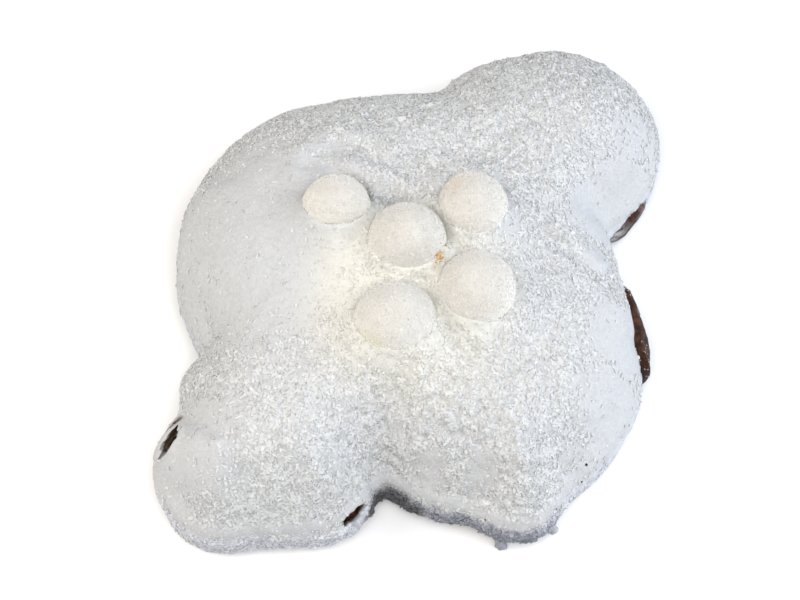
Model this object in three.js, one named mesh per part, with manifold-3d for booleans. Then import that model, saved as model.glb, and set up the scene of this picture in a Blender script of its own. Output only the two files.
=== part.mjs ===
// Colomba Easter cake: a dove-shaped loaf under a thick white coat of icing and coconut,
// with five truffles pressed into its top.
// Millimetres, +Z up. The cake stands on z = 0 with its head towards +X and its tail towards -X.
import * as THREE from "three";
import { mergeVertices } from "three/addons/utils/BufferGeometryUtils.js";
import Module from "manifold-3d";

const wasm = await Module();
wasm.setup();

// Plan of the coated cake: round lobes, joined by soft notches.
const LOBES = {
  body: { x: 9, y: 3, radius: 77 },
  head: { x: 89, y: 3, radius: 41 },
  headLeft: { x: 77, y: 16, radius: 36 },
  tail: { x: -97, y: -1, radius: 27.5 },
  tailLeft: { x: -79, y: 22.5, radius: 14.5 },
  tailRight: { x: -74, y: -21, radius: 27.5 },
  tailCorner: { x: -95, y: -24.5, radius: 9 },
  wingLeft: { x: -5, y: 26.5, radius: 68 },
  wingLeftEnd: { x: -52, y: 46.5, radius: 13.5 },
  wingRight: { x: 3, y: -38, radius: 62 },
  wingRightEnd: { x: -24, y: -82.5, radius: 18 },
};
const LOBE_BLEND = 3.5;
const MIDDLE = { x: 12, y: 12 }; // the whole outline is in sight from here
const OUTER_REACH = 170; // a radius that clears every lobe

// Section of the coat's outside: a wall, a rounded shoulder and a low dome.
const COAT = {
  inset: 0,
  widestHeight: 20,
  shoulderRise: 31,
  domeRise: 14,
  footInset: 2,
};
const SHOULDER_WIDTH = 38;
const DOME_RADIUS = 130;

// Towards the front, between the tail and the right wing, the shoulder slopes to a lip and isn't round.
const FRONT_DIRECTION = -135;
const FRONT_FADE = { low: -0.3, high: 0.8 }; // cosines of the angle to the front
const FRONT_SLOPE = 1;

// Section of the cake inside the coat, with a wall that rounds in to a flat base.
const CAKE = {
  inset: 4,
  widestHeight: 18,
  shoulderRise: 31.5,
  domeRise: 5.5,
  footInset: 4.5,
};
const CAKE_WALL_TURNS = [30, 60, 90];
const CAKE_GAP = 0.45; // clearance between the cake and its coat

// Hem of the coat: uneven, and always above the surface that the cake stands on.
const HEM_HEIGHT = 7;
const HEM_WAVES = [
  { count: 3, height: 1.2, turn: 1.0 },
  { count: 7, height: 0.9, turn: 2.0 },
  { count: 11, height: 0.6, turn: 0.4 },
];

// Drips that hang from the hem of the right wing.
const DRIPS = [
  { angle: -117, height: 8, width: 2.4, drop: 5 },
  { angle: -107, height: 8.5, width: 2.0, drop: 4 },
];

// Truffles: centre and radius of a ball, which is a little longer along one direction.
// They stand in sockets, about half sunk in the coat.
const TRUFFLES = [
  { x: -5.3, y: 31.9, z: 70.0, radius: 11.4, stretch: 1.1 },
  { x: 3.0, y: 3.1, z: 72.0, radius: 13.4, stretch: 1.08 },
  { x: 29.8, y: -4.7, z: 71.0, radius: 12.8, stretch: 1.0 },
  { x: 7.4, y: -28.5, z: 71.5, radius: 13.8, stretch: 1.03 },
  { x: -21.9, y: -15.6, z: 71.5, radius: 13.0, stretch: 1.15 },
];
const TRUFFLE_DIRECTION = -45;
const TRUFFLE_UNEVENNESS = 0.025;
const TRUFFLE_WAVES = [3, 4, 5]; // how often the lumps follow each other along x, y and z
const SOCKET_GAP = 0.35; // clearance between a truffle and its socket

// The coat swells round the truffles, where they were pressed in.
const MOUND_RISE = 4;
const MOUND_REACH = 17;

// Spatula strokes and folds in the coat: ridges have a positive height, grooves a negative one.
const STROKES = [
  { height: 2.0, width: 5, path: [[0, 57], [8, 63], [22, 64], [29, 52], [30, 39]] },
  { height: 2.5, width: 5, path: [[10, 43], [20, 31], [25, 15]] },
  { height: -2.5, width: 6, path: [[55, -54], [50, -38], [44, -26]] },
  { height: 2.0, width: 5, path: [[64, -46], [60, -34], [52, -22]] },
  { height: -4.5, width: 9, path: [[-60, -50], [-53, -42], [-42, -32]] },
  { height: -2.0, width: 5, path: [[-97, 21], [-91, 2]] },
  { height: -1.8, width: 6, path: [[-44, -61], [-38, -73], [-30, -83]] },
  { height: 2.5, width: 7, path: [[-17, 18], [-19, 14]] },
];

// Bare sides: ovals just outside the rim where the coat stops short, and the crust comes forward.
// Each gives the oval's middle, the direction it faces, its span along the rim and half width across it,
// the height up to which it is bare, and how far the crust bulges beyond the coat's outline.
const BARE_SIDES = [
  { x: 59, y: -84, direction: -37, span: 90, depth: 16.5, top: 60, bulge: 2 },
  { x: 86, y: -44, direction: -95, span: 52, depth: 11, top: 21, bulge: 0.4 },
];
const BARE_BULGE_SHARE = 0.6; // share of the oval within which the crust bulges fully

// Cracks in the coat through which the dark crust shows. Each runs along its heading in plan and rises
// by its pitch, and its depth rises by its tilt across that heading.
const CRACKS = [
  { x: -106.4, y: 19, z: 37, heading: 2, pitch: 38, tilt: 45, length: 15, width: 4, depth: 12 },
  { x: -75.4, y: -46.8, z: 22.5, heading: 0, pitch: 0, tilt: -40, length: 13, width: 4, depth: 12 },
];

// The largest coconut flakes, fused to the coat.
const FLAKE_COUNT = 190;
const FLAKE_LENGTH = { low: 3.0, high: 4.4 };
const FLAKE_WIDTH = { low: 1.2, high: 1.8 };
const FLAKE_THICKNESS = 1.2;
const FLAKE_LIFT = 0.2;
const FLAKE_TILT = 0.35;
const FLAKE_CLEARANCE = 5;
const FLAKE_RIM_SHARE = 0.97;
const FLAKE_SEED = 11;

// Fineness of the facets.
const COAT_FINENESS = { columns: 120, rings: 12 };
const CAKE_FINENESS = { columns: 96, rings: 9 };
const EDGE_STEPS = [0, 2, 4]; // distances from the rim of the first rings
const RIM_CROWDING = 1.3; // above 1, the other rings lie closer together near the rim
const HALF_RINGS_BELOW = 0.55; // shares of the rim's radius where rings have fewer points
const QUARTER_RINGS_BELOW = 0.25;
const SOFT_REACH = 6; // points to each side over which a ring's notches are evened out
const OUTLINE_STEPS = 1440;
const OUTLINE_HALVINGS = 20;
const TANGENT_TURN = 0.005; // small angle over which the outline's direction is found
const TRUFFLE_DETAIL = 2;
const CRACK_SIDES = { around: 10, along: 6 };
const BARE_SEGMENTS = 32;
const DRIP_SIDES = { around: 8, along: 6 };

const degrees = THREE.MathUtils.degToRad;

// Signed distance to the joined lobes in plan, negative inside.
function lobeDistance(x, y) {
  let sum = 0;
  for (const lobe of Object.values(LOBES)) {
    const distance = Math.hypot(x - lobe.x, y - lobe.y) - lobe.radius;
    sum += Math.exp(-distance / LOBE_BLEND);
  }
  return -LOBE_BLEND * Math.log(sum);
}

// Point in plan at an angle and a radius from the middle.
function fromMiddle(angle, r) {
  return [MIDDLE.x + r * Math.cos(angle), MIDDLE.y + r * Math.sin(angle)];
}

// Radius, at an angle from the middle, of the outline set in from the coat's own by a distance.
function outlineRadius(angle, inset) {
  const isInside = (r) => lobeDistance(...fromMiddle(angle, r)) < -inset;
  let outer = OUTER_REACH;
  while (!isInside(outer - 1)) outer -= 1;
  let inner = outer - 1;
  for (let i = 0; i < OUTLINE_HALVINGS; i++) {
    const middle = (inner + outer) / 2;
    if (isInside(middle)) inner = middle;
    else outer = middle;
  }
  return inner;
}

// How far a point in plan lies from the middle of a bare side, where 1 is at the oval's edge.
function bareReach(side, x, y) {
  const angle = degrees(side.direction);
  const across = (x - side.x) * Math.cos(angle) + (y - side.y) * Math.sin(angle);
  const along = (y - side.y) * Math.cos(angle) - (x - side.x) * Math.sin(angle);
  return Math.hypot(across / side.depth, along / (side.span / 2));
}

// The cake's inset at an angle: none where its crust bulges out of the coat.
function cakeInset(angle) {
  const [x, y] = fromMiddle(angle, outlineRadius(angle, 0));
  let inset = CAKE.inset;
  for (const side of BARE_SIDES) {
    const reach = bareReach(side, x, y);
    inset = THREE.MathUtils.lerp(-side.bulge, inset, THREE.MathUtils.smoothstep(reach, BARE_BULGE_SHARE, 1));
  }
  return inset;
}

// Closed outline: the point on it at any angle, and a fine run of points along it.
function makeOutline(insetAt) {
  const pointAt = (angle) => fromMiddle(angle, outlineRadius(angle, insetAt(angle)));
  const path = [];
  for (let i = 0; i <= OUTLINE_STEPS; i++) {
    path.push(pointAt((2 * Math.PI * (i % OUTLINE_STEPS)) / OUTLINE_STEPS));
  }
  return { path, pointAt };
}

// Point that lies inside an outline by a distance, square to it at an angle.
function stepIn(outline, angle, distance) {
  const [x, y] = outline.pointAt(angle);
  const [beforeX, beforeY] = outline.pointAt(angle - TANGENT_TURN);
  const [afterX, afterY] = outline.pointAt(angle + TANGENT_TURN);
  const length = Math.hypot(afterX - beforeX, afterY - beforeY);
  return [x - (distance * (afterY - beforeY)) / length, y + (distance * (afterX - beforeX)) / length];
}

// The place on a run of straight segments that is nearest to a point: its offset and its distance.
function nearestOnPath(x, y, path) {
  let nearest = { distance: Infinity };
  for (let i = 0; i + 1 < path.length; i++) {
    const [ax, ay] = path[i];
    const [bx, by] = path[i + 1];
    const length2 = (bx - ax) ** 2 + (by - ay) ** 2;
    const share = THREE.MathUtils.clamp(((x - ax) * (bx - ax) + (y - ay) * (by - ay)) / length2, 0, 1);
    const offsetX = ax + share * (bx - ax) - x;
    const offsetY = ay + share * (by - ay) - y;
    const distance = Math.hypot(offsetX, offsetY);
    if (distance < nearest.distance) nearest = { offsetX, offsetY, distance };
  }
  return nearest;
}

// Height of the coat's strokes and of its swelling round the truffles.
function coatRelief(x, y) {
  let height = 0;
  for (const stroke of STROKES) {
    height += stroke.height * Math.exp(-((nearestOnPath(x, y, stroke.path).distance / stroke.width) ** 2));
  }
  const clearances = TRUFFLES.map((ball) => Math.hypot(x - ball.x, y - ball.y) - ball.radius);
  return height + MOUND_RISE * (1 - THREE.MathUtils.smoothstep(Math.min(...clearances), 0, MOUND_REACH));
}

// How far the coat's rim faces the front where it is nearest to a point, from 0 to 1.
function frontShare(x, y) {
  const rim = nearestOnPath(x, y, coatOutline.path);
  if (rim.distance === 0) return 0;
  const angle = degrees(FRONT_DIRECTION);
  const facing = (rim.offsetX * Math.cos(angle) + rim.offsetY * Math.sin(angle)) / rim.distance;
  return THREE.MathUtils.smoothstep(facing, FRONT_FADE.low, FRONT_FADE.high);
}

// Height of a loaf's top over a point in plan.
function topHeight(x, y, section, outline, relief) {
  const across = Math.min(nearestOnPath(x, y, outline.path).distance / SHOULDER_WIDTH, 1);
  const round = Math.sqrt(1 - (1 - across) ** 2);
  const shoulder = round ** (1 + FRONT_SLOPE * frontShare(x, y) * (1 - across));
  const dome = section.domeRise * (1 - (Math.hypot(x, y) / DOME_RADIUS) ** 2);
  return section.widestHeight + shoulder * (section.shoulderRise + dome + relief(x, y));
}

// Height of the coat's hem at an angle.
function hemHeight(angle) {
  let height = HEM_HEIGHT;
  for (const wave of HEM_WAVES) height += wave.height * Math.sin(wave.count * angle + wave.turn);
  return height;
}

// Angles of points spaced evenly along an outline.
function evenAngles(outline, count) {
  const lengths = [0];
  for (let i = 1; i < outline.path.length; i++) {
    const [ax, ay] = outline.path[i - 1];
    const [bx, by] = outline.path[i];
    lengths.push(lengths[i - 1] + Math.hypot(bx - ax, by - ay));
  }
  const angles = [];
  let step = 0;
  for (let i = 0; i < count; i++) {
    const wanted = (i / count) * lengths.at(-1);
    while (lengths[step + 1] < wanted) step += 1;
    const share = (wanted - lengths[step]) / (lengths[step + 1] - lengths[step]);
    angles.push((2 * Math.PI * (step + share)) / OUTLINE_STEPS);
  }
  return angles;
}

// Triangles between a ring and the ring inside or above it, which has as many points or a part of them.
function joinRings(indices, outer, inner) {
  const skip = outer.count / inner.count;
  for (let i = 0; i < inner.count; i++) {
    const corner = inner.start + i;
    for (let k = i * skip; k < (i + 1) * skip; k++) {
      indices.push(corner, outer.start + k, outer.start + ((k + 1) % outer.count));
    }
    const nextCorner = inner.start + ((i + 1) % inner.count);
    indices.push(corner, outer.start + (((i + 1) * skip) % outer.count), nextCorner);
  }
}

// Closed loaf: rings from the rim up to the middle of its top, then rows down its wall to a flat base.
// The first rings keep their distance from the rim. The others shrink towards the middle, where they are
// rounder and have fewer points. A wall row gives its inset and its height.
function makeLoaf(fineness, outline, heightAt, wallRows, floorHeight) {
  const angles = evenAngles(outline, fineness.columns);
  const inside = shrinkingRing(angles.map((angle) => stepIn(outline, angle, EDGE_STEPS.at(-1))));
  const vertices = [];
  const indices = [];
  const addRing = (stride, pointAt) => {
    const ring = { start: vertices.length / 3, count: angles.length / stride };
    for (let i = 0; i < angles.length; i += stride) vertices.push(...pointAt(i));
    return ring;
  };
  const addTopRing = (stride, planAt) =>
    addRing(stride, (i) => {
      const [x, y] = planAt(i);
      return [x, y, heightAt(x, y)];
    });
  const topRings = EDGE_STEPS.map((step) => addTopRing(1, (i) => stepIn(outline, angles[i], step)));
  for (let k = 1; k < fineness.rings; k++) {
    const share = 1 - (k / fineness.rings) ** RIM_CROWDING;
    topRings.push(addTopRing(ringStride(share), (i) => inside(i, share)));
  }
  for (let k = 1; k < topRings.length; k++) joinRings(indices, topRings[k - 1], topRings[k]);
  closeRing(vertices, indices, topRings.at(-1), heightAt(MIDDLE.x, MIDDLE.y), 1);
  let above = topRings[0];
  for (const rowAt of wallRows) {
    const below = addRing(1, (i) => {
      const row = rowAt(angles[i]);
      return [...stepIn(outline, angles[i], row.inset), row.height];
    });
    joinRings(indices, below, above);
    above = below;
  }
  closeRing(vertices, indices, above, floorHeight, -1);
  const geometry = new THREE.BufferGeometry();
  geometry.setAttribute("position", new THREE.Float32BufferAttribute(vertices, 3));
  geometry.setIndex(indices);
  return geometry;
}

// Points of a ring as it shrinks towards the middle and loses its notches.
function shrinkingRing(points) {
  const radii = points.map(([x, y]) => Math.hypot(x - MIDDLE.x, y - MIDDLE.y));
  const softRadii = radii.map((_, i) => {
    let sum = 0;
    for (let k = -SOFT_REACH; k <= SOFT_REACH; k++) sum += radii[(i + k + radii.length) % radii.length];
    return sum / (2 * SOFT_REACH + 1);
  });
  return (i, share) => {
    const scale = share * THREE.MathUtils.lerp(softRadii[i] / radii[i], 1, share ** 2);
    return [MIDDLE.x + scale * (points[i][0] - MIDDLE.x), MIDDLE.y + scale * (points[i][1] - MIDDLE.y)];
  };
}

// One point in so many of a ring at a share of the rim's radius.
function ringStride(share) {
  if (share > HALF_RINGS_BELOW) return 1;
  return share > QUARTER_RINGS_BELOW ? 2 : 4;
}

// Fan of triangles from a ring to a point above the middle, facing up or down.
function closeRing(vertices, indices, ring, height, facing) {
  const middle = vertices.length / 3;
  vertices.push(MIDDLE.x, MIDDLE.y, height);
  for (let i = 0; i < ring.count; i++) {
    const here = ring.start + i;
    const next = ring.start + ((i + 1) % ring.count);
    if (facing > 0) indices.push(middle, here, next);
    else indices.push(middle, next, here);
  }
}

// Geometry with each shared vertex held once.
function joinVertices(geometry) {
  geometry.deleteAttribute("normal");
  geometry.deleteAttribute("uv");
  return mergeVertices(geometry);
}

// Solid of a closed geometry, and geometry of a solid.
function toSolid(geometry) {
  const joined = joinVertices(geometry);
  return new wasm.Manifold(
    new wasm.Mesh({
      numProp: 3,
      vertProperties: new Float32Array(joined.getAttribute("position").array),
      triVerts: new Uint32Array(joined.index.array),
    }),
  );
}

function toGeometry(solid) {
  const mesh = solid.getMesh();
  const geometry = new THREE.BufferGeometry();
  geometry.setAttribute("position", new THREE.BufferAttribute(mesh.vertProperties, 3));
  geometry.setIndex(new THREE.BufferAttribute(mesh.triVerts, 1));
  return geometry;
}

const coatOutline = makeOutline(() => COAT.inset);
const coatHeight = (x, y) => topHeight(x, y, COAT, coatOutline, coatRelief);

// The cake: the loaf itself, with its crust.
function makeCake() {
  const outline = makeOutline(cakeInset);
  const heightAt = (x, y) => topHeight(x, y, CAKE, outline, () => 0);
  const wallRows = CAKE_WALL_TURNS.map((turn) => () => ({
    inset: CAKE.footInset * (1 - Math.cos(degrees(turn))),
    height: CAKE.widestHeight * (1 - Math.sin(degrees(turn))),
  }));
  return makeLoaf(CAKE_FINENESS, outline, heightAt, wallRows, 0);
}

// Slightly uneven and oval ball of one truffle, in its place.
function makeTruffle(ball, index) {
  const geometry = new THREE.IcosahedronGeometry(1, TRUFFLE_DETAIL);
  const positions = geometry.getAttribute("position");
  const point = new THREE.Vector3();
  for (let i = 0; i < positions.count; i++) {
    point.fromBufferAttribute(positions, i);
    let lump = 0;
    TRUFFLE_WAVES.forEach((count, axis) => {
      lump += Math.sin(count * point.getComponent(axis) + (axis + 1) * index);
    });
    point.multiplyScalar(ball.radius * (1 + (TRUFFLE_UNEVENNESS * lump) / TRUFFLE_WAVES.length));
    positions.setXYZ(i, point.x, point.y, point.z);
  }
  geometry.rotateZ(-degrees(TRUFFLE_DIRECTION));
  geometry.scale(ball.stretch, 1, 1);
  geometry.rotateZ(degrees(TRUFFLE_DIRECTION));
  return joinVertices(geometry).translate(ball.x, ball.y, ball.z);
}

// Copy of a closed geometry, grown along its normals: the space that it needs with a clearance.
function makeSpace(geometry, clearance) {
  const space = geometry.clone();
  space.computeVertexNormals();
  const positions = space.getAttribute("position");
  const normals = space.getAttribute("normal");
  const point = new THREE.Vector3();
  const normal = new THREE.Vector3();
  for (let i = 0; i < positions.count; i++) {
    normal.fromBufferAttribute(normals, i);
    point.fromBufferAttribute(positions, i).addScaledVector(normal, clearance);
    positions.setXYZ(i, point.x, point.y, point.z);
  }
  return space;
}

// Long thin body of a crack, which cuts through the coat to the crust.
function makeCrack(crack) {
  const geometry = new THREE.SphereGeometry(0.5, CRACK_SIDES.around, CRACK_SIDES.along);
  geometry.scale(crack.length, crack.depth, crack.width);
  geometry.rotateX(degrees(crack.tilt));
  geometry.rotateY(degrees(-crack.pitch));
  geometry.rotateZ(degrees(crack.heading));
  return geometry.translate(crack.x, crack.y, crack.z);
}

// Upright oval column that takes the coat off a bare side, from below the cake up to the side's top.
function makeBareCutter(side) {
  const geometry = new THREE.CylinderGeometry(1, 1, 2, BARE_SEGMENTS);
  geometry.rotateX(Math.PI / 2);
  geometry.scale(side.depth, side.span / 2, side.top);
  geometry.rotateZ(degrees(side.direction));
  return geometry.translate(side.x, side.y, 0);
}

// Drop of icing that hangs from the hem against the wall.
function makeDrip(drip) {
  const angle = degrees(drip.angle);
  const geometry = new THREE.SphereGeometry(1, DRIP_SIDES.around, DRIP_SIDES.along);
  geometry.rotateX(Math.PI / 2);
  geometry.scale(drip.width, drip.width, drip.drop);
  return geometry.translate(...stepIn(coatOutline, angle, COAT.footInset), drip.height);
}

// Whether a flake at a point in plan would stay clear of the truffles, the bare sides and the cracks.
function isFlakePlace(x, y) {
  const clearOfTruffles = TRUFFLES.every(
    (ball) => Math.hypot(x - ball.x, y - ball.y) > ball.radius + FLAKE_CLEARANCE,
  );
  const clearOfBare = BARE_SIDES.every(
    (side) => (bareReach(side, x, y) - 1) * side.depth > FLAKE_CLEARANCE,
  );
  const clearOfCracks = CRACKS.every(
    (crack) => Math.hypot(x - crack.x, y - crack.y) > crack.length / 2 + FLAKE_CLEARANCE,
  );
  return clearOfTruffles && clearOfBare && clearOfCracks;
}

// Coconut flakes, spread evenly over the coat on a sunflower spiral, each lying nearly flat on it.
function makeFlakes() {
  THREE.MathUtils.seededRandom(FLAKE_SEED);
  const between = (low, high) => THREE.MathUtils.lerp(low, high, THREE.MathUtils.seededRandom());
  const goldenAngle = Math.PI * (3 - Math.sqrt(5));
  const flakes = [];
  for (let i = 0; i < FLAKE_COUNT; i++) {
    const angle = (i * goldenAngle) % (2 * Math.PI);
    const share = FLAKE_RIM_SHARE * Math.sqrt((i + 0.5) / FLAKE_COUNT);
    const [x, y] = fromMiddle(angle, share * outlineRadius(angle, COAT.inset));
    const geometry = new THREE.OctahedronGeometry(0.5);
    geometry.scale(
      between(FLAKE_LENGTH.low, FLAKE_LENGTH.high),
      between(FLAKE_WIDTH.low, FLAKE_WIDTH.high),
      FLAKE_THICKNESS,
    );
    geometry.rotateY(between(-FLAKE_TILT, FLAKE_TILT));
    geometry.rotateZ(between(0, Math.PI));
    const slopeX = (coatHeight(x + 1, y) - coatHeight(x - 1, y)) / 2;
    const slopeY = (coatHeight(x, y + 1) - coatHeight(x, y - 1)) / 2;
    const normal = new THREE.Vector3(-slopeX, -slopeY, 1).normalize();
    geometry.applyQuaternion(new THREE.Quaternion().setFromUnitVectors(new THREE.Vector3(0, 0, 1), normal));
    geometry.translate(x, y, coatHeight(x, y) + FLAKE_LIFT);
    if (isFlakePlace(x, y)) flakes.push(geometry);
  }
  return flakes;
}

// The coat: its outside with drips and flakes fused on, less the cake, bare sides, cracks and sockets.
function makeIcing(cake, truffles) {
  const wallRows = [
    (angle) => ({ inset: COAT.footInset / 2, height: (COAT.widestHeight + hemHeight(angle)) / 2 }),
    (angle) => ({ inset: COAT.footInset, height: hemHeight(angle) }),
  ];
  const outside = makeLoaf(COAT_FINENESS, coatOutline, coatHeight, wallRows, HEM_HEIGHT);
  const joined = [...DRIPS.map(makeDrip), ...makeFlakes()];
  const cut = [
    makeSpace(cake, CAKE_GAP),
    ...BARE_SIDES.map(makeBareCutter),
    ...CRACKS.map(makeCrack),
    ...truffles.map((truffle) => makeSpace(truffle, SOCKET_GAP)),
  ];
  let coat = toSolid(outside);
  for (const piece of joined) coat = coat.add(toSolid(piece));
  for (const piece of cut) coat = coat.subtract(toSolid(piece));
  return toGeometry(largestBody(coat));
}

// The largest body of a solid, without the loose scraps that the cuts leave.
function largestBody(solid) {
  return solid.decompose().reduce((best, body) => (body.volume() > best.volume() ? body : best));
}

const crustMaterial = new THREE.MeshStandardMaterial({ color: 0x5a2c16, roughness: 0.75, metalness: 0 });
const icingMaterial = new THREE.MeshStandardMaterial({ color: 0xe9e8e6, roughness: 0.85, metalness: 0 });
const truffleMaterial = new THREE.MeshStandardMaterial({ color: 0xf1ece0, roughness: 0.8, metalness: 0 });

function addMesh(parent, name, geometry, material) {
  const mesh = new THREE.Mesh(geometry, material);
  geometry.computeVertexNormals();
  mesh.name = name;
  parent.add(mesh);
}

const colomba = new THREE.Group();
const cake = makeCake();
const truffles = TRUFFLES.map(makeTruffle);
addMesh(colomba, "cake", cake, crustMaterial);
addMesh(colomba, "icing", makeIcing(cake, truffles), icingMaterial);
truffles.forEach((truffle, index) => addMesh(colomba, `truffle_${index + 1}`, truffle, truffleMaterial));

// The origin is the middle of the box round the whole, at the surface it stands on.
const box = new THREE.Box3().setFromObject(colomba);
const middle = box.getCenter(new THREE.Vector3());
colomba.position.set(-middle.x, -middle.y, -box.min.z);

export default colomba;
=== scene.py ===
"""Looks of a colomba Easter cake: a dove-shaped loaf under icing and coconut, with five truffles on top.

Shapes are worked out in millimetres in the plan of the cake's lobes, and become metres in the part's frame
when a piece is made.
"""
import itertools
import math

import bmesh
import bpy
import numpy as np
from mathutils import Matrix, Vector


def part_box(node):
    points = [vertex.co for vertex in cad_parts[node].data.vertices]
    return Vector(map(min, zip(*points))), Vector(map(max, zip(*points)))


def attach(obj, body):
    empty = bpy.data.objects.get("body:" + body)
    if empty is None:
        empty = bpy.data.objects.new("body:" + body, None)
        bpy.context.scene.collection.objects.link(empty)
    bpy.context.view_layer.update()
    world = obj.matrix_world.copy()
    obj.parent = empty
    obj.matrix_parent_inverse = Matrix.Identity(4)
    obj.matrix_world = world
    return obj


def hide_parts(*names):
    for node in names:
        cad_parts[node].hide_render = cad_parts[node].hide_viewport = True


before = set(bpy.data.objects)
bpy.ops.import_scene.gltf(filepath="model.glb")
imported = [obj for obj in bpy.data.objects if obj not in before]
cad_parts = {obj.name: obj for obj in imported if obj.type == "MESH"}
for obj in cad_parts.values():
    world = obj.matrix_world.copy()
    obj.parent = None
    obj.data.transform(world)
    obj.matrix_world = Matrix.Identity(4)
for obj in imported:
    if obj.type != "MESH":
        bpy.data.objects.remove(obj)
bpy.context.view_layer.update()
MM = 0.001
TINY = 1e-6  # least divisor
SEED = 5

# Plan of the coated cake: round lobes (x, y, radius), joined by soft notches.
LOBES = {
    "body": (9, 3, 77),
    "head": (89, 3, 41),
    "head_left": (77, 16, 36),
    "tail": (-97, -1, 27.5),
    "tail_left": (-79, 22.5, 14.5),
    "tail_right": (-74, -21, 27.5),
    "tail_corner": (-95, -24.5, 9),
    "wing_left": (-5, 26.5, 68),
    "wing_left_end": (-52, 46.5, 13.5),
    "wing_right": (3, -38, 62),
    "wing_right_end": (-24, -82.5, 18),
}
LOBE_BLEND = 2.5
MIDDLE = np.array([12.0, 12.0])  # the whole outline is in sight from here
OUTER_REACH = 170  # a radius that clears every lobe
OUTLINE_STEPS = 1440
OUTLINE_HALVINGS = 20
TANGENT_STEP = 0.5  # half the length over which the outline's direction is measured

# Sections: a wall, a rounded shoulder and a low dome.
SHOULDER_WIDTH = 38
DOME_RADIUS = 130
COAT = {"widest_height": 20, "shoulder_rise": 31, "dome_rise": 14, "foot_inset": 1.6}
CAKE = {"widest_height": 18, "shoulder_rise": 31.5, "dome_rise": 5.5, "foot_inset": 4.5}
CAKE_INSET = 4

# Towards the front, between the tail and the right wing, the shoulder slopes to a lip and isn't round.
FRONT_DIRECTION = math.radians(-135)
FRONT_FADE = (-0.3, 0.8)  # cosines of the angle to the front
FRONT_SLOPE = 1
LIP_RISE, LIP_PLACE, LIP_WIDTH = 1.4, 2.4, 1.6  # a ridge that runs along the lip
CREASE_DEPTH, CREASE_PLACE, CREASE_WIDTH = 1.6, 7.0, 2.6  # and a crease inside it

# Hem of the coat: uneven waves (count, height, turn) round its middle height.
HEM_HEIGHT = 6.5
HEM_WAVES = [(3, 1.2, 1.0), (7, 0.9, 2.0), (11, 0.6, 0.4), (37, 0.35, 0.0), (61, 0.25, 1.0)]
LIP_SHARE = 0.25  # share of the wall's height over which it falls back under the lip
FRONT_UPRIGHT = 0.8  # share of that fall that is missing at the front

# Drips that hang from the hem (angle, height, half width, half length).
DRIPS = [(-117, 4.4, 2.3, 3.4), (-107, 5.4, 1.9, 3.4)]
DRIP_RAGGED = 0.35
DRIP_TEETH = 0.5  # size of the teeth on a ball of radius 1
DRIP_SHIFT = 3  # a drip's height times this moves its noise

# Truffles (x, y, z, radius, stretch), about half sunk in the coat, which swells round them.
TRUFFLES = [
    (-5.3, 31.9, 70.0, 11.4, 1.10),
    (3.0, 3.1, 72.0, 13.4, 1.08),
    (29.8, -4.7, 71.0, 12.8, 1.00),
    (7.4, -28.5, 71.5, 13.8, 1.03),
    (-21.9, -15.6, 71.5, 13.0, 1.15),
]
TRUFFLE_DIRECTION = math.radians(-45)
TRUFFLE_UNEVENNESS = 0.025
TRUFFLE_WAVES = (3, 4, 5)
TRUFFLE_GRAIN = [(4.0, 0.25), (1.3, 0.12), (0.7, 0.06)]
MOUND_RISE = 4
MOUND_REACH = 17

# Cream is pushed up at the front of each truffle, and leaves a gap (bearing, depth) behind some of them.
CREAM_RISE, CREAM_WIDTH = 6.5, 4.5
CREAM_FADE = (-0.8, 0.5)  # cosines of the angle to the front
GAP_WIDTH = 2.4
GAP_FADE = (0.3, 1)  # cosines of the angle to the gap's bearing
TRUFFLE_GAPS = [(15, 4.5), (0, 3.5), (40, 3.5), (-70, 3.0), (0, 0.0)]

# Spatula strokes and folds in the coat: height above it, half width and path in plan.
STROKES = [
    (1.5, 4.5, [(-4, 57), (4.4, 60), (18.3, 60), (25, 47.5), (28.2, 34.7)]),
    (1.8, 4.0, [(12, 42), (17.3, 31.7), (20.9, 19.4)]),
    (-3.4, 4.0, [(4, 40), (10, 28), (14, 18)]),
    (-2.4, 3.5, [(50.9, -56), (48.7, -48.2), (47.9, -39.4), (43, -28)]),
    (2.0, 3.2, [(59, -56), (55.3, -48), (52.3, -39.8), (48, -29)]),
    (-4.5, 9.0, [(-60, -50), (-53, -42), (-42, -32)]),
    (-2.2, 4.0, [(-97, 22), (-92, 0)]),
    (-2.4, 3.2, [(-48, -54.7), (-43.3, -61.4)]),
    (-2.4, 3.2, [(-38.1, -68.5), (-30.7, -78.4)]),
    (2.5, 7.0, [(-17, 18), (-19, 14)]),
]

# Unevenness of the coat and of the crust: (size, height) of their lumps.
COAT_LUMPS = [(16.0, 0.8), (6.0, 0.4)]
COAT_GRAIN = [(3.2, 0.30), (1.8, 0.25)]
CRUST_LUMPS = [(11.0, 0.5), (4.0, 0.35), (1.6, 0.18)]
COAT_LEAST = 2.0  # least height of the coat over the crust
CRUST_FOOT = 4.5  # height from which the crust's lumps fade out towards the base
CRUST_WRINKLE = {"depth": 0.6, "size": 7.0, "width": 0.08}

# Bare sides: ovals just outside the rim where the coat stops short, and the crust comes forward by a bulge
# within a share of the oval. An oval of a larger power is squarer.
BARE_SIDES = [
    {"place": (65, -77.3), "direction": -34.5, "span": 54, "depth": 15.4, "power": 6, "top": 44,
     "bulge": 3.2, "bulge_share": 0.84},
    {"place": (91.5, -44.5), "direction": -88, "span": 54, "depth": 12, "power": 2, "top": 22,
     "bulge": 0.4, "bulge_share": 0.6},
]
ARCH_LEAST = 0.2  # share of its length that a bare side has at its top
BARE_SIGHT = 1.02  # the crust is in sight up to this reach
BARE_STEP = 0.7  # height between the rings of the shape that takes off the coat
BARE_RAGGED = [(5.0, 1.0), (1.8, 1.1)]  # (size, depth) of the teeth along the coat's edge
BARE_THINNING = 0.6  # the coat is thinner by this at its bare edge
BARE_THIN_WIDTH = 7

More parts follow.
